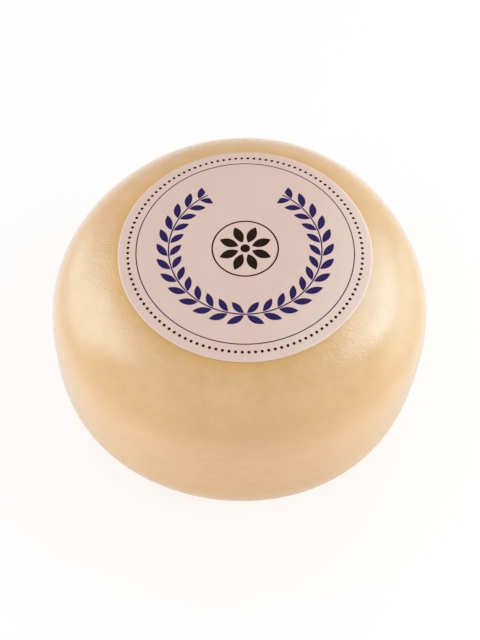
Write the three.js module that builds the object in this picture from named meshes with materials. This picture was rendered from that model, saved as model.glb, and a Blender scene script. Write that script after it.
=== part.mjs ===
// A whole coated goat's-milk cheese with its paper label.
//
// The cheese is a round wheel with a nearly flat top, a broad soft shoulder, a bulging side and a flat
// foot that it rests on. It was pressed and turned by hand, so it is a little out of round and its top
// sits to one side. The label is a round sheet of paper stuck on the top, off the middle, that bends down
// where the shoulder starts.
//
// Millimetres, +Z up. The origin is on the resting face, under the middle of the wheel. The near side of
// the label is towards -Y.

import * as THREE from "three";
import { mergeVertices } from "three/addons/utils/BufferGeometryUtils.js";

// Driving dimensions
const WHEEL_DIAMETER = 183;
const WHEEL_HEIGHT = 106;
const BELLY_HEIGHT = 53.8; // level of the widest part above the foot
const FOOT_DIAMETER = 92;
const LABEL_DIAMETER = 120;
const LABEL_THICKNESS = 0.3;
const LABEL_GAP = 0.3; // clearance between the paper and the rind
const LABEL_CENTRE = { x: 2.8, y: 4.9 }; // from the belly's axis

// Form of each half of the wheel: a superellipse whose power on the radius flattens the face
// and whose power on the height straightens the wall
const CROWN = { facePower: 4.5, wallPower: 3.0 };
const BASE = { facePower: 6.4, wallPower: 3.15 };

// Hand-made unevenness of the round outline
const OVAL = { rise: 0.5, lobes: 2, turn: THREE.MathUtils.degToRad(-9) };
const THREE_SIDED = { rise: 1.3, lobes: 3, turn: THREE.MathUtils.degToRad(-40) };
const LEAN = Math.tan(THREE.MathUtils.degToRad(1.9)); // sideways shift along +X for each unit of height

// Fineness of the facets
const WHEEL_SIDES = 72;
const CROWN_STEPS = 18;
const BASE_STEPS = 14;
const LABEL_SIDES = 72;
const LABEL_RINGS = 7;
const MERGE_DISTANCE = 1e-3;

const bellyRadius = WHEEL_DIAMETER / 2;
const footRadius = FOOT_DIAMETER / 2;
const labelRadius = LABEL_DIAMETER / 2;
const crownHeight = WHEEL_HEIGHT - BELLY_HEIGHT;

// Height over the belly, as a share of the half's full height, at a share of the belly's radius
function shareOfHeight(half, shareOfRadius) {
  return (1 - shareOfRadius ** half.facePower) ** (1 / half.wallPower);
}

// Depth of the lower half's full curve, which the flat foot cuts off
const baseDepth = BELLY_HEIGHT / shareOfHeight(BASE, footRadius / bellyRadius);

// Radius at a quarter-turn parameter of a half: 0 at the belly, a right angle on the axis
function radiusAt(half, angle) {
  return bellyRadius * Math.max(0, Math.cos(angle)) ** (2 / half.facePower);
}

// Section of the wheel from the middle of the foot, out to the belly and up to the middle of the top
function wheelSection() {
  const section = [new THREE.Vector2(0, 0)];
  const footAngle = Math.acos((footRadius / bellyRadius) ** (BASE.facePower / 2));
  for (let step = 0; step < BASE_STEPS; step++) {
    const radius = radiusAt(BASE, footAngle * (1 - step / BASE_STEPS));
    const depth = baseDepth * shareOfHeight(BASE, radius / bellyRadius);
    section.push(new THREE.Vector2(radius, BELLY_HEIGHT - depth));
  }
  for (let step = 0; step < CROWN_STEPS; step++) {
    const radius = radiusAt(CROWN, (Math.PI / 2) * (step / CROWN_STEPS));
    const rise = crownHeight * shareOfHeight(CROWN, radius / bellyRadius);
    section.push(new THREE.Vector2(radius, BELLY_HEIGHT + rise));
  }
  section.push(new THREE.Vector2(0, WHEEL_HEIGHT));
  return section;
}

// How far the outline stands out or in at a turn about the axis, as a factor on the radius
function outOfRound(turn) {
  const bulge = ({ rise, lobes, turn: peak }) => rise * Math.cos(lobes * (turn - peak));
  return 1 + (bulge(OVAL) + bulge(THREE_SIDED)) / bellyRadius;
}

function leanAt(height) {
  return LEAN * (height - BELLY_HEIGHT);
}

// Height of the rind under a point of the top. The lean moves that point, so the height settles in
// a few passes.
function topHeight(x, y) {
  const passes = 4;
  let height = WHEEL_HEIGHT;
  for (let pass = 0; pass < passes; pass++) {
    const upright = x - leanAt(height);
    const radius = Math.hypot(upright, y) / outOfRound(Math.atan2(y, upright));
    height = BELLY_HEIGHT + crownHeight * shareOfHeight(CROWN, radius / bellyRadius);
  }
  return height;
}

// A section turned about +Z, with its seam and its poles closed, and each corner moved by a function
function turnedSolid(section, sides, move) {
  const turned = new THREE.LatheGeometry(section, sides).rotateX(Math.PI / 2);
  turned.deleteAttribute("normal");
  turned.deleteAttribute("uv");
  const geometry = mergeVertices(turned, MERGE_DISTANCE);
  const corners = geometry.getAttribute("position");
  const corner = new THREE.Vector3();
  for (let i = 0; i < corners.count; i++) {
    move(corner.fromBufferAttribute(corners, i));
    corners.setXYZ(i, corner.x, corner.y, corner.z);
  }
  geometry.computeVertexNormals();
  return geometry;
}

function cheeseWheel() {
  const geometry = turnedSolid(wheelSection(), WHEEL_SIDES, (corner) => {
    const factor = outOfRound(Math.atan2(corner.y, corner.x));
    corner.x = corner.x * factor + leanAt(corner.z);
    corner.y *= factor;
  });
  const rind = new THREE.MeshStandardMaterial({ color: 0xe3bd8c, roughness: 0.42, metalness: 0 });
  const wheel = new THREE.Mesh(geometry, rind);
  wheel.name = "cheese_wheel";
  return wheel;
}

// A flat round sheet, lowered onto the rind all over
function paperLabel() {
  const section = [];
  for (let ring = 0; ring <= LABEL_RINGS; ring++) {
    section.push(new THREE.Vector2((labelRadius * ring) / LABEL_RINGS, 0));
  }
  for (let ring = LABEL_RINGS; ring >= 0; ring--) {
    section.push(new THREE.Vector2((labelRadius * ring) / LABEL_RINGS, LABEL_THICKNESS));
  }
  const geometry = turnedSolid(section, LABEL_SIDES, (corner) => {
    corner.z += topHeight(corner.x + LABEL_CENTRE.x, corner.y + LABEL_CENTRE.y) + LABEL_GAP;
  });
  const paper = new THREE.MeshStandardMaterial({ color: 0xdac0b6, roughness: 0.7, metalness: 0 });
  const label = new THREE.Mesh(geometry, paper);
  label.name = "paper_label";
  label.position.set(LABEL_CENTRE.x, LABEL_CENTRE.y, 0);
  return label;
}

// The uneven wheel's box is centred over the origin
const wheel = cheeseWheel();
const label = paperLabel();
const middle = new THREE.Box3().setFromObject(wheel).getCenter(new THREE.Vector3());
const labelledWheel = new THREE.Group();
labelledWheel.position.set(-middle.x, -middle.y, 0);
labelledWheel.add(wheel, label);

const cheese = new THREE.Group();
cheese.name = "goat_cheese";
cheese.add(labelledWheel);

export default cheese;
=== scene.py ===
"""A whole coated goat cheese with its paper label, laid out as an add-on and run as a script."""

import math
from typing import NamedTuple

import bmesh
import bpy
from bpy.props import (
    FloatProperty,
    FloatVectorProperty,
    IntProperty,
    PointerProperty,
)
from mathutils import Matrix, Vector, noise
from mathutils.bvhtree import BVHTree


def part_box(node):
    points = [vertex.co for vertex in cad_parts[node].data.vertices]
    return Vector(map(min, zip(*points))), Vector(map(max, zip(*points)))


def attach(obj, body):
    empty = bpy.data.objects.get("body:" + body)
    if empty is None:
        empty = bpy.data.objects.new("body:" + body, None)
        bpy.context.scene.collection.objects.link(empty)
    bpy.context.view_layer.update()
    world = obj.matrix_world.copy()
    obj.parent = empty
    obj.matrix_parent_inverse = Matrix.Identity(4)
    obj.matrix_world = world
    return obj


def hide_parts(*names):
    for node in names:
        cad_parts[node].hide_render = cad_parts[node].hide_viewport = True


bl_info = {
    "name": "Goat Cheese Wheel",
    "version": (1, 0, 0),
    "blender": (4, 5, 0),
    "location": "3D View > Sidebar > Cheese",
    "description": "Builds a coated goat cheese, its paper label and a studio stage",
    "category": "Add Mesh",
}

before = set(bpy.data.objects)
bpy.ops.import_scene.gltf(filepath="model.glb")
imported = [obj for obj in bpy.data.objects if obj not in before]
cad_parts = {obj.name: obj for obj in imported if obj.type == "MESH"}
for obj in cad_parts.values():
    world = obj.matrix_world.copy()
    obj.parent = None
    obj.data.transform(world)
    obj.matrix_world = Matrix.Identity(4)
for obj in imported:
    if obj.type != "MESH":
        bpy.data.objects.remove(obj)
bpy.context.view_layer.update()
WHEEL_LOW, WHEEL_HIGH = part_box("cheese_wheel")
LABEL_LOW, LABEL_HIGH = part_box("paper_label")
LABEL_MIDDLE = (LABEL_LOW + LABEL_HIGH) / 2
LABEL_RADIUS = (LABEL_HIGH.x - LABEL_LOW.x) / 2

MM = 0.001
MERGE_DISTANCE = 0.001 * MM
WHEEL_NAME = "coated_cheese"
LABEL_NAME = "printed_label"
FLOOR_NAME = "studio_floor"
ALONG = "along_section"
WEDGES = 20
WHITE = (1.0, 1.0, 1.0)


def colour_property(name, description, default):
    """A colour setting, in linear values."""
    return FloatVectorProperty(
        name=name,
        description=description,
        default=default,
        subtype="COLOR",
        min=0.0,
        max=1.0,
    )


def length_property(name, description, default):
    """A length setting, in metres."""
    return FloatProperty(name=name, description=description, default=default, unit="LENGTH", precision=5)


def angle_property(name, description, degrees):
    """An angle setting, given in degrees and kept in radians."""
    return FloatProperty(
        name=name,
        description=description,
        default=math.radians(degrees),
        subtype="ANGLE",
    )


class WheelSettings(bpy.types.PropertyGroup):
    """Sizes and colours of the cheese itself."""

    diameter: length_property("Diameter", "Width of the belly before it goes out of round", 183 * MM)
    height: length_property("Height", "From the foot to the top", WHEEL_HIGH.z - WHEEL_LOW.z)
    belly: length_property("Belly height", "Level of the widest part above the foot", 53.8 * MM)
    foot: length_property("Foot diameter", "Width of the flat resting face", 92 * MM)
    axis: FloatVectorProperty(
        name="Belly axis",
        description="Where the belly's upright axis stands",
        default=(0.69 * MM, -1.13 * MM),
        size=2,
        unit="LENGTH",
        precision=5,
    )
    lean: angle_property("Lean", "Slant of the wheel towards +X", 1.9)
    oval: length_property("Oval", "How far the outline is drawn out to an oval", 0.5 * MM)
    oval_turn: angle_property("Oval turn", "Direction of the oval's long way", -9)
    lobes: length_property("Three lobes", "How far the outline bulges on three sides", 1.3 * MM)
    lobes_turn: angle_property("Lobes turn", "Direction of the first bulge", -40)
    sides: IntProperty(name="Sides", description="Steps around the wheel", default=460, min=24)
    row_step: length_property("Row step", "Distance between rows along the section", 1.2 * MM)
    butter: colour_property("Butter", "Colour of the rind on the top", (0.786, 0.497, 0.27))
    cream: colour_property("Cream", "Colour of the rind on the shoulder", (0.642, 0.367, 0.193))
    apricot: colour_property("Apricot", "Colour of the rind low on the side", (0.573, 0.312, 0.122))
    straw: colour_property("Straw", "Cooler, greener patches of the rind", (0.618, 0.390, 0.177))
    bloom: colour_property("Bloom", "Pale specks in the coating", (0.726, 0.508, 0.336))
    # Painted shade: the colour of the darker ring painted round the label.
    painted_label_shade: colour_property("Label shade", "Colour of the painted shade on the rind round the label", (0.70, 0.405, 0.115))


class LabelSettings(bpy.types.PropertyGroup):
    """Sizes and colours of the paper label."""

    diameter: length_property("Diameter", "Width of the round label", LABEL_HIGH.x - LABEL_LOW.x)
    thickness: length_property("Thickness", "Thickness of the paper", 0.16 * MM)
    gap: length_property("Glue gap", "Height of the paper's underside over the rind", 0.05 * MM)
    curl: length_property("Edge curl", "How far the edge lifts off the rind", 0.22 * MM)
    sides: IntProperty(name="Sides", description="Steps around the label", default=360, min=24)
    rings: IntProperty(name="Rings", description="Steps from the middle to the edge", default=60, min=4)
    paper: colour_property("Paper", "Colour of the unprinted paper", (0.768, 0.563, 0.487))
    # Painted light: the paler paper colour towards the near right.
    painted_light_paper: colour_property("Lit paper", "Colour of the paper on the near right", (0.828, 0.625, 0.549))
    violet: colour_property("Violet ink", "Colour of the wreath and its ring", (0.019, 0.011, 0.09))
    brown: colour_property("Brown ink", "Colour of the rosette and the beads", (0.013, 0.005, 0.003))


class StageSettings(bpy.types.PropertyGroup):
    """Camera, lights and floor."""

    elevation: angle_property("Elevation", "Height of the camera's view over the horizon", 59)
    distance: length_property("Distance", "From the camera to the middle of the belly", 640.5 * MM)
    lens: FloatProperty(name="Lens", description="Focal length in millimetres", default=71.7)
    aim: FloatVectorProperty(
        name="Aim",
        description="Where the camera aims, from the middle of the belly",
        default=(0.35 * MM, 0.0, -5.07 * MM),
        unit="LENGTH",
        precision=5,
    )
    fill: FloatProperty(name="Fill", description="Strength of the light all round", default=0.838)
    ceiling: angle_property("Ceiling", "Height over the horizon where the dome starts to darken", 66)
    floor: colour_property("Floor", "Colour of the pale floor", (0.6, 0.6, 0.6))
    glow: FloatProperty(name="Floor glow", description="Light up through the floor", default=0.64)


class WheelForm:
    """The wheel's smooth surface: two superellipse halves, out of round and leaning.

    Each half has two powers: the first flattens its face, the second its wall.
    """

    CROWN = (4.5, 3.0)
    BASE = (6.4, 3.15)
    CURVE_STEPS = 600
    CROWDING = 1.5

    def __init__(self, sizes):
        self.sizes = sizes
        self.radius = sizes.diameter / 2
        self.foot = sizes.foot / 2
        self.crown_height = sizes.height - sizes.belly
        self.base_depth = sizes.belly / self.share_of_height(self.BASE, self.foot / self.radius)

    @staticmethod
    def share_of_height(powers, share_of_radius):
        """Height over the belly, as a share of a half's full height."""
        face_power, wall_power = powers
        return max(0.0, 1 - share_of_radius**face_power) ** (1 / wall_power)

    def half_curve(self, powers, rise, last_radius):
        """Points from the belly to a given radius of one half, as radius and height."""
        face_power = powers[0]
        last_angle = math.acos((last_radius / self.radius) ** (face_power / 2))
        points = []
        for step in range(self.CURVE_STEPS + 1):
            angle = last_angle * (step / self.CURVE_STEPS) ** self.CROWDING
            share = max(0.0, math.cos(angle)) ** (2 / face_power)
            height = self.sizes.belly + rise * self.share_of_height(powers, share)
            points.append((self.radius * share, height))
        return points

    def section(self):
        """Evenly spaced points from the foot's middle over its rim and the belly to the top's middle."""
        lower = self.half_curve(self.BASE, -self.base_depth, self.foot)
        upper = self.half_curve(self.CROWN, self.crown_height, 0.0)
        return [(0.0, 0.0)] + evenly_spaced(lower[::-1] + upper[1:], self.sizes.row_step)

    def uneven(self, point):
        """Moves a point of the round wheel to its place on the uneven, leaning one."""
        sizes = self.sizes
        turn = math.atan2(point.y, point.x)
        bulge = sizes.oval * math.cos(2 * (turn - sizes.oval_turn))
        bulge += sizes.lobes * math.cos(3 * (turn - sizes.lobes_turn))
        factor = 1 + bulge / self.radius
        lean = math.tan(sizes.lean) * (point.z - sizes.belly)
        return Vector((
            point.x * factor + lean + sizes.axis[0],
            point.y * factor + sizes.axis[1],
            point.z,
        ))


def evenly_spaced(points, step):
    """Resamples a line of points at equal distances of about one step."""
    travelled = [0.0]
    for start, end in zip(points, points[1:]):
        travelled.append(travelled[-1] + math.dist(start, end))
    count = round(travelled[-1] / step)
    least_length = 1e-12
    spaced = []
    index = 0
    for number in range(count + 1):
        wanted = travelled[-1] * number / count
        while index < len(points) - 2 and travelled[index + 1] < wanted:
            index += 1
        length = travelled[index + 1] - travelled[index]
        share = (wanted - travelled[index]) / max(length, least_length)
        spaced.append(tuple(a + (b - a) * share for a, b in zip(points[index], points[index + 1])))
    return spaced


def smooth_step(value):
    """Runs softly from 0 to 1 as the value does."""
    value = min(max(value, 0.0), 1.0)
    return value * value * (3 - 2 * value)


class Swell(NamedTuple):
    """Uneven swells of one size: their length and height, and a shift that sets them apart."""

    length: float
    height: float
    shift: float


SWELLS = (
    Swell(62 * MM, 0.22 * MM, 3.1),
    Swell(23 * MM, 0.045 * MM, 17.7),
    Swell(8 * MM, 0.014 * MM, 41.3),
)
SWELLS_FADE = 12 * MM


def rind_relief(point):
    """Height of the hand-pressed swells at a point, fading out at the flat foot."""
    height = 0.0
    for swell in SWELLS:
        shift = Vector((swell.shift, -swell.shift, swell.shift))
        height += swell.height * noise.noise(point / swell.length + shift)
    return height * smooth_step(point.z / SWELLS_FADE)


def spun(bm, points, centre, sides):
    """Spins a line of points, as radius and height, into a round surface about an upright axis.

    Each corner keeps its distance along the line.
    """
    along = bm.verts.layers.float.new(ALONG)
    verts = []
    travelled = 0.0
    for number, point in enumerate(points):
        vert = bm.verts.new((centre[0] + point[0], centre[1], point[1]))
        travelled += math.dist(points[max(number - 1, 0)], point)
        vert[along] = travelled
        verts.append(vert)
    edges = [bm.edges.new(pair) for pair in zip(verts, verts[1:])]
    turning = {"cent": (centre[0], centre[1], 0.0), "axis": (0.0, 0.0, 1.0)}
    wedge = math.tau / WEDGES
    bmesh.ops.spin(bm, geom=verts + edges, angle=wedge, steps=sides // WEDGES, **turning)
    whole = [*bm.verts, *bm.edges, *bm.faces]
    rest = math.tau - wedge
    bmesh.ops.spin(bm, geom=whole, angle=rest, steps=WEDGES - 1, use_duplicate=True, **turning)
    bmesh.ops.remove_doubles(bm, verts=bm.verts, dist=MERGE_DISTANCE)
    bmesh.ops.recalc_face_normals(bm, faces=bm.faces)


def finished_piece(bm, name, material, node):
    """Makes a bmesh into a smooth piece that stands for a node of the frame."""
    mesh = bpy.data.meshes.new(name)
    bm.to_mesh(mesh)
    bm.free()
    mesh.shade_smooth()
    mesh.materials.append(material)
    piece = bpy.data.objects.new(name, mesh)
    bpy.context.scene.collection.objects.link(piece)
    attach(piece, "root")
    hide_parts(node)


class Value:
    """A socket of a finish. Arithmetic on it adds Math nodes."""

    def __init__(self, finish, socket):
        self.finish = finish
        self.socket = socket

    def __add__(self, other):
        return self.finish.math("ADD", self, other)

    def __sub__(self, other):
        return self.finish.math("SUBTRACT", self, other)

    def __rsub__(self, other):
        return self.finish.math("SUBTRACT", other, self)

    def __mul__(self, other):
        return self.finish.math("MULTIPLY", self, other)

    def __truediv__(self, other):
        return self.finish.math("DIVIDE", self, other)

    def __rtruediv__(self, other):
        return self.finish.math("DIVIDE", other, self)

    def __abs__(self):
        return self.finish.math("ABSOLUTE", self)

    __radd__ = __add__
    __rmul__ = __mul__


class Finish:
    """The nodes of a material or of the world, and the one shader that they feed."""

    def __init__(self, owner, shader="Principled BSDF"):
        owner.use_nodes = True
        self.owner = owner
        self.tree = owner.node_tree
        self.shader = self.tree.nodes[shader]

    def node(self, kind, settings, inputs, output=0):
        """Adds a node: its settings first, then its sockets' values or links."""
        node = self.tree.nodes.new(kind)
        for name, value in settings.items():
            setattr(node, name, value)
        for name, value in inputs.items():
            self.put(node.inputs[name], value)
        return Value(self, node.outputs[output])

    def put(self, socket, value):
        """Links a value to a socket, or sets it there."""
        if isinstance(value, Value):
            self.tree.links.new(value.socket, socket)
        else:
            socket.default_value = value

    def set(self, **values):
        """Sets or links sockets of the shader, whose names have spaces for the underlines."""
        for name, value in values.items():
            self.put(self.shader.inputs[name.replace("_", " ")], value)

    def math(self, operation, *values):
        """Adds a Math node."""
        return self.node("ShaderNodeMath", {"operation": operation}, dict(enumerate(values)))

    def mix(self, first, second, factor):
        """Mixes two colours."""
        sockets = {0: factor, 6: first, 7: second}
        return self.node("ShaderNodeMix", {"data_type": "RGBA"}, sockets, output=2)

    def multiply(self, colour, factor):
        """Lightens or darkens a colour by a factor."""
        settings = {"data_type": "RGBA", "blend_type": "MULTIPLY"}
        return self.node("ShaderNodeMix", settings, {0: 1.0, 6: colour, 7: factor}, output=2)

    def ramp(self, value, low, high):
        """Runs softly from 0 at one value to 1 at another."""
        sockets = {"Value": value, "From Min": low, "From Max": high}
        return self.node("ShaderNodeMapRange", {"interpolation_type": "SMOOTHSTEP"}, sockets)

    def place(self):
        """The piece's own coordinates."""
        return self.node("ShaderNodeTexCoord", {}, {}, output=3)

    def noise(self, place, size, detail=2.0, roughness=0.5):
        """Cloudy noise whose clouds are about the given size."""
        sockets = {"Vector": place, "Scale": 1 / size, "Detail": detail, "Roughness": roughness}
        return self.node("ShaderNodeTexNoise", {}, sockets)

    def split(self, place):
        """The three coordinates of a place."""
        first = self.node("ShaderNodeSeparateXYZ", {}, {0: place})
        return [Value(self, socket) for socket in first.socket.node.outputs]

    def length(self, across, along):
        """Distance of a place from the origin of two directions."""
        return self.math("SQRT", across * across + along * along)

    def largest(self, values):
        """The largest of several values."""
        largest = values[0]
        for value in values[1:]:
            largest = self.math("MAXIMUM", largest, value)
        return largest

    def bump(self, height):
        """A normal from a height in millimetres."""
        sockets = {"Height": height, "Strength": 1.0, "Distance": MM}
        return self.node("ShaderNodeBump", {}, sockets)


def opaque(colour):
    """A colour setting as a socket's four values."""
    return (*colour, 1.0)


def cloth_imprint(finish, place):
    """Relief in millimetres left by the pressing cloth: two crossing sets of threads, worn in places."""
    pitch = 1.3 * MM
    threads_around = 430
    cross_share = 0.8
    depth = 0.014
    wander_size = 3.5 * MM
    wander_angle = 9
    wear_size = 8 * MM
    wear_levels = (0.30, 0.65)
    rim_radii = (30 * MM, 55 * MM)
    x, y = finish.split(place)[:2]
    wander = finish.noise(place, wander_size, detail=3.0, roughness=0.6) * wander_angle
    turn = finish.math("ARCTAN2", y, x)
    along = finish.node("ShaderNodeAttribute", {"attribute_name": ALONG}, {}, output=2)
    across_threads = finish.math("SINE", turn * threads_around + wander)
    along_threads = finish.math("SINE", along * (math.tau / pitch) + wander)
    wear = finish.ramp(finish.noise(place, wear_size), *wear_levels)
    rim = finish.ramp(finish.length(x, y), *rim_radii)
    return (across_threads * cross_share + along_threads) * wear * rim * depth


def rind_grain(finish, place, flattened):
    """Relief in millimetres that is too fine for the mesh."""
    grain_size = 1.5 * MM
    grain_height = 0.09
    shoulder_grain = 0.05
    shoulder_levels = (50 * MM, 82 * MM)
    dimple_size = 4.5 * MM
    dimple_height = 0.08
    pimple_size = 3.4 * MM
    pimple_height = 0.08
    pimple_levels = (0.70, 0.82)
    height = finish.split(place)[2]
    grain = finish.noise(flattened, grain_size, detail=3.0, roughness=0.65)
    shoulder = finish.ramp(height, *shoulder_levels)
    dimples = finish.noise(place, dimple_size)
    pimples = finish.ramp(finish.noise(place, pimple_size, detail=1.0), *pimple_levels)
    relief = cloth_imprint(finish, place) + grain * (grain_height + shoulder * shoulder_grain)
    return relief + dimples * dimple_height + pimples * pimple_height


class Blotch(NamedTuple):
    """Blotches of another colour in the rind: their size, how fine and how rough their outline is, the
    levels of noise between which they fade in, and their strength.
    """

    size: float
    detail: float
    roughness: float
    low: float
    high: float
    strength: float


PATCHES = Blotch(30 * MM, 3.0, 0.55, 0.34, 0.66, 0.15)
MOTTLE = Blotch(9 * MM, 3.0, 0.60, 0.36, 0.66, 0.30)
SPECKS = Blotch(2.8 * MM, 1.0, 0.50, 0.72, 0.84, 0.45)


def rind_colour(finish, sizes, place, flattened):
    """Apricot low on the side, cream on the shoulder and butter on the top, blotched and clouded.

    Round the label the rind gets a darker, yellower ring of painted shade, weaker on the right, where the
    highlight reaches the label.
    """
    cream_levels = (25 * MM, 90 * MM)
    butter_levels = (84 * MM, 105 * MM)
    shade_width = 8 * MM
    shade_strength = 0.6
    shade_loss = 0.45
    shade_fade = (10 * MM, 60 * MM)
    small_cloud = 3.2 * MM
    middle_cloud = 10 * MM
    large_cloud = 34 * MM
    cloud_contrast = 0.09
    large_contrast = 0.10
    darkest = 0.86
    x, y, height = finish.split(place)
    colour = opaque(sizes.apricot)
    colour = finish.mix(colour, opaque(sizes.cream), finish.ramp(height, *cream_levels))
    colour = finish.mix(colour, opaque(sizes.butter), finish.ramp(height, *butter_levels))
    for tint, blotch in ((sizes.apricot, PATCHES), (sizes.straw, MOTTLE), (sizes.bloom, SPECKS)):
        level = finish.noise(flattened, blotch.size, blotch.detail, blotch.roughness)
        cover = finish.ramp(level, blotch.low, blotch.high) * blotch.strength
        colour = finish.mix(colour, opaque(tint), cover)
    # Painted shade: a darker, yellower ring round the label where the gloss is missing and the label's
    # edge shades the rind. It is weaker towards the right, where the highlight reaches the label.
    across = x - LABEL_MIDDLE.x
    away = finish.length(across, y - LABEL_MIDDLE.y)
    painted_shade = 1 - finish.ramp(away, LABEL_RADIUS, LABEL_RADIUS + shade_width)
    shade_spread = shade_strength - finish.ramp(across, *shade_fade) * shade_loss
    colour = finish.mix(colour, opaque(sizes.painted_label_shade), painted_shade * shade_spread)
    clouds = (
        finish.noise(flattened, small_cloud) * cloud_contrast
        + finish.noise(flattened, middle_cloud) * cloud_contrast
        + finish.noise(place, large_cloud) * large_contrast
    )
    return finish.multiply(colour, clouds + darkest)


def rind_finish(sizes):
    """Cream rind under a thin satin coating that keeps the grain of the pressing cloth."""
    flattening = 1.9
    polish_size = 16 * MM
    least_roughness = 0.10
    uneven_roughness = 0.10
    finish = Finish(bpy.data.materials.new("coated_rind"))
    place = finish.place()
    flattened = finish.node(
        "ShaderNodeMapping",
        {},
        {"Vector": place, "Scale": (1.0, 1.0, flattening)},
    )
    finish.set(
        Base_Color=rind_colour(finish, sizes, place, flattened),
        Roughness=least_roughness + finish.noise(place, polish_size) * uneven_roughness,
        Normal=finish.bump(rind_grain(finish, place, flattened)),
        Subsurface_Weight=0.3,
        Subsurface_Radius=(1.0, 0.5, 0.22),
        Subsurface_Scale=6 * MM,
        IOR=1.45,
    )
    return finish.owner


class Crease(NamedTuple):
    """A fold that runs out to the label's edge: its direction in degrees, where it starts as a share of
    the radius, and its height and width.
    """

    turn: float
    start: float
    height: float
    width: float


CREASES = (
    Crease(-39, 0.70, 0.22 * MM, 0.9 * MM),
    Crease(-11, 0.74, 0.18 * MM, 0.8 * MM),
    Crease(14, 0.70, 0.16 * MM, 0.8 * MM),
    Crease(-64, 0.80, 0.14 * MM, 0.8 * MM),
)


def ring_cell(finish, turn, count, radius):
    """Distance along a ring from the middle of the nearest of its equal stretches."""
    share = finish.math("FRACT", turn * (count / math.tau)) - 0.5
    return share * (math.tau * radius / count)


def printed(finish, depth):
    """Cover of ink for a depth in millimetres inside a motif's edge."""
    edge = 0.16
    return finish.ramp(depth, -edge / 2, edge / 2)


def leaf(along, across, length, width):
    """Depth inside a pointed leaf that starts at the origin and lies along the first direction."""
    share = (along - length / 2) / (length / 2)
    return (1 - share * share) * (width / 2) - abs(across)


def hoop(distance, radius, width):
    """Depth inside the line of a ring."""
    return width / 2 - abs(distance - radius)


def beaded_ring(finish, turn, distance, radius):
    """Depth inside the beads near the label's edge, in millimetres."""
    beads = 116
    bead_radius = 0.75
    ring_radius = 0.92 * radius
    along = ring_cell(finish, turn, beads, ring_radius)
    return bead_radius - finish.length(along, distance - ring_radius)


def leafy_wreath(finish, x, y, distance, radius):
    """Depth in millimetres inside two sprigs that curve up from the bottom and leave a gap at the top."""
    ring_radius = 0.60 * radius
    stem_width = 0.68
    leaf_length = 8.6
    leaf_width = 3.4
    leaf_start = 0.9
    leaf_pitch = 7.4
    leaf_slant = math.radians(38)
    sprig_end = math.radians(150)
    along = abs(finish.math("ARCTAN2", x, y * -1)) * ring_radius
    off_stem = abs(distance - ring_radius)
    first = finish.math("MODULO", along, leaf_pitch)
    depths = []
    for shift in (0.0, leaf_pitch):
        ahead = first + shift
        lengthwise = ahead * math.cos(leaf_slant) + off_stem * math.sin(leaf_slant)
        sideways = off_stem * math.cos(leaf_slant) - ahead * math.sin(leaf_slant)
        depths.append(leaf(lengthwise - leaf_start, sideways, leaf_length, leaf_width))
    depths.append(hoop(distance, ring_radius, stem_width))
    return finish.math("MINIMUM", finish.largest(depths), sprig_end * ring_radius - along)


def rosette(finish, turn, distance):
    """Depth in millimetres inside a flower of pointed petals and the hoop round it."""
    petals = 8
    petal_start = 3.4
    petal_length = 9.6
    petal_width = 4.6
    heart_radius = 2.3
    hoop_radius = 15.5
    hoop_width = 0.8
    off_petal = ring_cell(finish, turn, petals, 1.0)
    along = distance * finish.math("COSINE", off_petal)
    across = distance * finish.math("SINE", off_petal)
    petal = leaf(along - petal_start, across, petal_length, petal_width)
    return finish.largest([petal, heart_radius - distance, hoop(distance, hoop_radius, hoop_width)])


def crease_ridge_cover(finish, x, y, radius):
    """Cover of the lines along the creases: the paper's colour is lightened along them as a painted
    highlight, and its bump raises them.
    """
    line_reach = 0.5
    line_core = 0.1
    fade_in = 0.1 * radius
    crease_ridges = []
    for crease in CREASES:
        turned = math.radians(crease.turn)
        start = crease.start * radius
        sideways = abs(y * math.cos(turned) - x * math.sin(turned))
        ahead = x * math.cos(turned) + y * math.sin(turned)
        line = finish.ramp(sideways, line_reach, line_core)
        crease_ridges.append(line * finish.ramp(ahead, start, start + fade_in))
    return finish.largest(crease_ridges)


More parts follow.
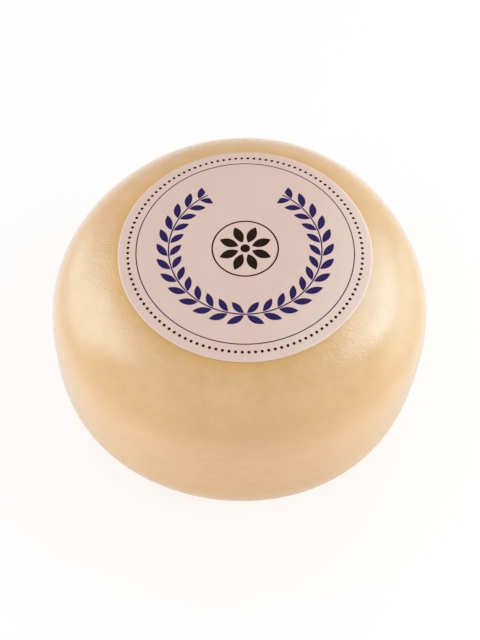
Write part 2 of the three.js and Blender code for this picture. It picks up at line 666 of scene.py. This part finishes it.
def paper_finish(sizes):
    """Matt paper with a plain printed ornament: a leafy wreath round a rosette, and a beaded ring."""
    radius = sizes.diameter / 2 / MM
    line_radius = 0.855 * radius
    line_width = 0.56
    light_way = (0.95, -0.3)
    light_from = 0.25 * radius
    light_to = 0.95 * radius
    fibre_size = 0.9 * MM
    cloud_size = 9 * MM
    darkest = 0.92
    cloud_contrast = 0.08
    fibre_contrast = 0.08
    painted_crease_highlight = 0.09
    ink_grain = 1.6 * MM
    thinnest_ink = 0.98
    ink_contrast = 0.04
    fibre_height = 0.07
    cloud_height = 0.1
    fold_height = 0.08
    least_roughness = 0.62
    fibre_roughness = 0.16
    finish = Finish(bpy.data.materials.new("label_paper"))
    place = finish.place()
    sheet = finish.node(
        "ShaderNodeMapping",
        {"vector_type": "POINT"},
        {
            "Vector": place,
            "Location": (-LABEL_MIDDLE.x / MM, -LABEL_MIDDLE.y / MM, 0.0),
            "Scale": (1 / MM, 1 / MM, 1 / MM),
        },
    )
    x, y = finish.split(sheet)[:2]
    distance = finish.length(x, y)
    turn = finish.math("ARCTAN2", y, x)

    fibre = finish.noise(place, fibre_size, detail=3.0, roughness=0.6)
    cloud = finish.noise(place, cloud_size)
    crease_ridges = crease_ridge_cover(finish, x, y, radius)
    # Painted light: the paper turns paler towards the near right, where the right softboxes light it.
    painted_light_share = finish.ramp(x * light_way[0] + y * light_way[1], light_from, light_to)
    paper = finish.mix(opaque(sizes.paper), opaque(sizes.painted_light_paper), painted_light_share)
    # Painted highlight: the paper is lighter along the crease ridges.
    shade = darkest + cloud * cloud_contrast + fibre * fibre_contrast + crease_ridges * painted_crease_highlight
    paper = finish.multiply(paper, shade)

    wreath = leafy_wreath(finish, x, y, distance, radius)
    violet = finish.largest([wreath, hoop(distance, line_radius, line_width)])
    beads = beaded_ring(finish, turn, distance, radius)
    brown = finish.largest([beads, rosette(finish, turn, distance)])
    cover = thinnest_ink + finish.noise(place, ink_grain) * ink_contrast
    colour = finish.mix(paper, opaque(sizes.violet), printed(finish, violet) * cover)
    colour = finish.mix(colour, opaque(sizes.brown), printed(finish, brown) * cover)
    relief = fibre * fibre_height + cloud * cloud_height + crease_ridges * fold_height
    finish.set(
        Base_Color=colour,
        Roughness=least_roughness + fibre * fibre_roughness,
        Normal=finish.bump(relief),
        Specular_IOR_Level=0.05,
    )
    return finish.owner


class CHEESE_OT_wheel(bpy.types.Operator):
    """Model the coated cheese"""

    bl_idname = "cheese.wheel"
    bl_label = "Build Cheese"

    def execute(self, context):
        sizes = context.scene.cheese_wheel
        form = WheelForm(sizes)
        bm = bmesh.new()
        spun(bm, form.section(), (0.0, 0.0), sizes.sides)
        for vert in bm.verts:
            vert.co = form.uneven(vert.co)
        bm.normal_update()
        for vert in bm.verts:
            vert.co += vert.normal * rind_relief(vert.co)
        finished_piece(bm, WHEEL_NAME, rind_finish(sizes), "cheese_wheel")
        return {"FINISHED"}


class CHEESE_OT_label(bpy.types.Operator):
    """Lay the paper label on the cheese"""

    bl_idname = "cheese.label"
    bl_label = "Build Label"

    def execute(self, context):
        sizes = context.scene.cheese_label
        wheel = bpy.data.objects.get(WHEEL_NAME)
        if wheel is None:
            raise RuntimeError("the label needs the cheese under it: build the cheese first")
        rind = BVHTree.FromObject(wheel, context.evaluated_depsgraph_get())
        radius = sizes.diameter / 2
        bm = bmesh.new()
        rings = [(radius * ring / sizes.rings, 0.0) for ring in range(sizes.rings + 1)]
        spun(bm, rings, LABEL_MIDDLE, sizes.sides)
        down = Vector((0.0, 0.0, -1.0))
        above = WHEEL_HIGH.z + 10 * MM
        for vert in bm.verts:
            hit = rind.ray_cast(Vector((vert.co.x, vert.co.y, above)), down)[0]
            if hit is None:
                raise RuntimeError("the label reaches past the cheese")
            vert.co.z = hit.z + sizes.gap + paper_lift(vert.co - LABEL_MIDDLE, radius, sizes.curl)
        bmesh.ops.recalc_face_normals(bm, faces=bm.faces)
        if sum(face.normal.z for face in bm.faces) < 0:
            bmesh.ops.reverse_faces(bm, faces=bm.faces)
        bmesh.ops.solidify(bm, geom=list(bm.faces), thickness=-sizes.thickness)
        bmesh.ops.recalc_face_normals(bm, faces=bm.faces)
        finished_piece(bm, LABEL_NAME, paper_finish(sizes), "paper_label")
        return {"FINISHED"}


def paper_lift(offset, radius, curl):
    """How far the paper stands off the rind: a curling edge, and creases where it bends down."""
    curl_start = 0.90
    mean_curl = 0.6
    uneven_curl = 0.8
    waves = 3
    wave_shift = 7.7
    distance = math.hypot(offset.x, offset.y)
    share = distance / radius
    turn = math.atan2(offset.y, offset.x)
    rim = smooth_step((share - curl_start) / (1 - curl_start))
    around = Vector((waves * math.cos(turn), waves * math.sin(turn), wave_shift))
    lift = curl * rim * max(mean_curl + uneven_curl * noise.noise(around), 0.0)
    for crease in CREASES:
        off_line = turn - math.radians(crease.turn)
        if math.cos(off_line) > 0:
            fade = smooth_step((share - crease.start) / (1 - crease.start))
            sideways = distance * math.sin(off_line)
            lift += crease.height * fade * math.exp(-((sideways / crease.width) ** 2))
    return lift


class Softbox(NamedTuple):
    """A studio light that faces the middle of the belly, in degrees, metres and watts.

    It either lights the surfaces or only shows in their gloss.
    """

    name: str
    turn: float
    elevation: float
    width: float
    height: float
    power: float
    glossy: bool = True


FLOOR_RADIUS = 3.0
FLOOR_SIDES = 64
SOFTBOX_REACH = 0.8
SOFTBOXES = (
    Softbox("side_left", -72, 9, 0.50, 0.40, 3.45, glossy=False),
    Softbox("side_right", 84, 9, 0.50, 0.40, 4.9, glossy=False),
    Softbox("back_right", 150, 40, 0.50, 0.40, 0.45, glossy=False),
    Softbox("gloss_left", -108, 30, 0.68, 0.70, 4.5),
    Softbox("gloss_left_core", -100, 40, 0.44, 0.50, 2.2),
    Softbox("gloss_left_low", -112, 8, 0.70, 0.30, 1.5),
    Softbox("gloss_right", 115, 44, 0.52, 0.54, 6.5),
    Softbox("gloss_right_core", 103, 40, 0.16, 0.16, 0.7),
    Softbox("gloss_right_low", 106, 10, 0.70, 0.34, 2.1),
)


class CHEESE_OT_stage(bpy.types.Operator):
    """Set up the pale floor, the softboxes and the camera"""

    bl_idname = "cheese.stage"
    bl_label = "Build Stage"

    def execute(self, context):
        scene = context.scene
        stage = scene.cheese_stage
        wheel = scene.cheese_wheel
        middle = Vector((wheel.axis[0], wheel.axis[1], wheel.belly))
        self.add_floor(scene, stage)
        for softbox in SOFTBOXES:
            self.add_softbox(scene, softbox, middle)
        self.add_fill(scene, stage)
        self.add_camera(scene, stage, middle)
        self.soften_tones(scene)
        return {"FINISHED"}

    @staticmethod
    def add_floor(scene, stage):
        """A pale, softly glowing floor that doesn't show in the gloss."""
        bm = bmesh.new()
        bmesh.ops.create_circle(bm, cap_ends=True, segments=FLOOR_SIDES, radius=FLOOR_RADIUS)
        mesh = bpy.data.meshes.new(FLOOR_NAME)
        bm.to_mesh(mesh)
        bm.free()
        finish = Finish(bpy.data.materials.new("pale_floor"))
        finish.set(
            Base_Color=opaque(stage.floor),
            Roughness=0.7,
            Emission_Color=opaque(WHITE),
            Emission_Strength=stage.glow,
        )
        mesh.materials.append(finish.owner)
        floor = bpy.data.objects.new(FLOOR_NAME, mesh)
        floor.visible_glossy = False
        scene.collection.objects.link(floor)

    @staticmethod
    def add_softbox(scene, softbox, middle):
        """An area light that faces the middle, unseen by the camera."""
        turn = math.radians(softbox.turn)
        elevation = math.radians(softbox.elevation)
        towards = Vector((
            math.sin(turn) * math.cos(elevation),
            -math.cos(turn) * math.cos(elevation),
            math.sin(elevation),
        ))
        light = bpy.data.lights.new(softbox.name, "AREA")
        light.shape = "RECTANGLE"
        light.size = softbox.width
        light.size_y = softbox.height
        light.energy = softbox.power
        box = bpy.data.objects.new(softbox.name, light)
        box.location = middle + towards * SOFTBOX_REACH
        box.rotation_euler = (-towards).to_track_quat("-Z", "Y").to_euler()
        box.visible_camera = False
        box.visible_diffuse = not softbox.glossy
        box.visible_glossy = softbox.glossy
        scene.collection.objects.link(box)

    @staticmethod
    def add_fill(scene, stage):
        """A dome of light with a dark ceiling.

        The gloss sees it instead of the floor, so its lower half is brighter, as a lit table is, except
        straight below, in the shade of the cheese.
        """
        ceiling_end = math.radians(84)
        shade_rise = (-0.97, -0.66)
        table_rise = (0.0, -0.3)
        table_light = 0.75
        scene.world = bpy.data.worlds.new("studio_fill")
        dome = Finish(scene.world, "Background")
        direction = dome.node("ShaderNodeTexCoord", {}, {}, output="Generated")
        rise = dome.split(direction)[2]
        ceiling = dome.ramp(rise, math.sin(stage.ceiling), math.sin(ceiling_end))
        table = dome.ramp(rise, *shade_rise) * dome.ramp(rise, *table_rise) * table_light
        dome.set(Color=table + 1 - ceiling, Strength=stage.fill)

    @staticmethod
    def soften_tones(scene):
        """Plain colours, with a soft shoulder on the brightest tones as a camera gives them."""
        knee = 0.55
        reach = 0.65
        brightest = 1.316
        softened = (0.55, 0.65, 0.75, 0.9, 1.05, 1.18)
        scene.view_settings.view_transform = "Standard"
        scene.view_settings.use_curve_mapping = True
        mapping = scene.view_settings.curve_mapping
        mapping.white_level = (brightest, brightest, brightest)
        all_channels = mapping.curves[3]
        for light in softened:
            tone = knee + reach * (1 - math.exp((knee - light) / reach))
            all_channels.points.new(light / brightest, tone)
        mapping.update()

    @staticmethod
    def add_camera(scene, stage, middle):
        """A camera at the photo's angle."""
        towards = Vector((0.0, -math.cos(stage.elevation), math.sin(stage.elevation)))
        lens = bpy.data.cameras.new("photo_camera")
        lens.lens = stage.lens
        lens.sensor_fit = "VERTICAL"
        lens.sensor_height = 36.0
        camera = bpy.data.objects.new("photo_camera", lens)
        camera.location = middle + towards * stage.distance
        sight = middle + Vector(stage.aim) - camera.location
        camera.rotation_euler = sight.to_track_quat("-Z", "Y").to_euler()
        scene.collection.objects.link(camera)
        scene.camera = camera


class CHEESE_PT_panel(bpy.types.Panel):
    """Lists the steps and settings of the cheese"""

    bl_idname = "CHEESE_PT_panel"
    bl_label = "Goat Cheese"
    bl_space_type = "VIEW_3D"
    bl_region_type = "UI"
    bl_category = "Cheese"

    def draw(self, context):
        steps = (
            (CHEESE_OT_wheel, context.scene.cheese_wheel),
            (CHEESE_OT_label, context.scene.cheese_label),
            (CHEESE_OT_stage, context.scene.cheese_stage),
        )
        for operator, settings in steps:
            box = self.layout.box()
            box.operator(operator.bl_idname)
            for name in settings.__annotations__:
                box.prop(settings, name)


CLASSES = (
    WheelSettings,
    LabelSettings,
    StageSettings,
    CHEESE_OT_wheel,
    CHEESE_OT_label,
    CHEESE_OT_stage,
    CHEESE_PT_panel,
)


def register():
    for cls in CLASSES:
        bpy.utils.register_class(cls)
    bpy.types.Scene.cheese_wheel = PointerProperty(type=WheelSettings)
    bpy.types.Scene.cheese_label = PointerProperty(type=LabelSettings)
    bpy.types.Scene.cheese_stage = PointerProperty(type=StageSettings)


def unregister():
    del bpy.types.Scene.cheese_stage
    del bpy.types.Scene.cheese_label
    del bpy.types.Scene.cheese_wheel
    for cls in reversed(CLASSES):
        bpy.utils.unregister_class(cls)


def main():
    register()
    bpy.ops.cheese.wheel()
    bpy.ops.cheese.label()
    bpy.ops.cheese.stage()


if __name__ == "__main__":
    main()
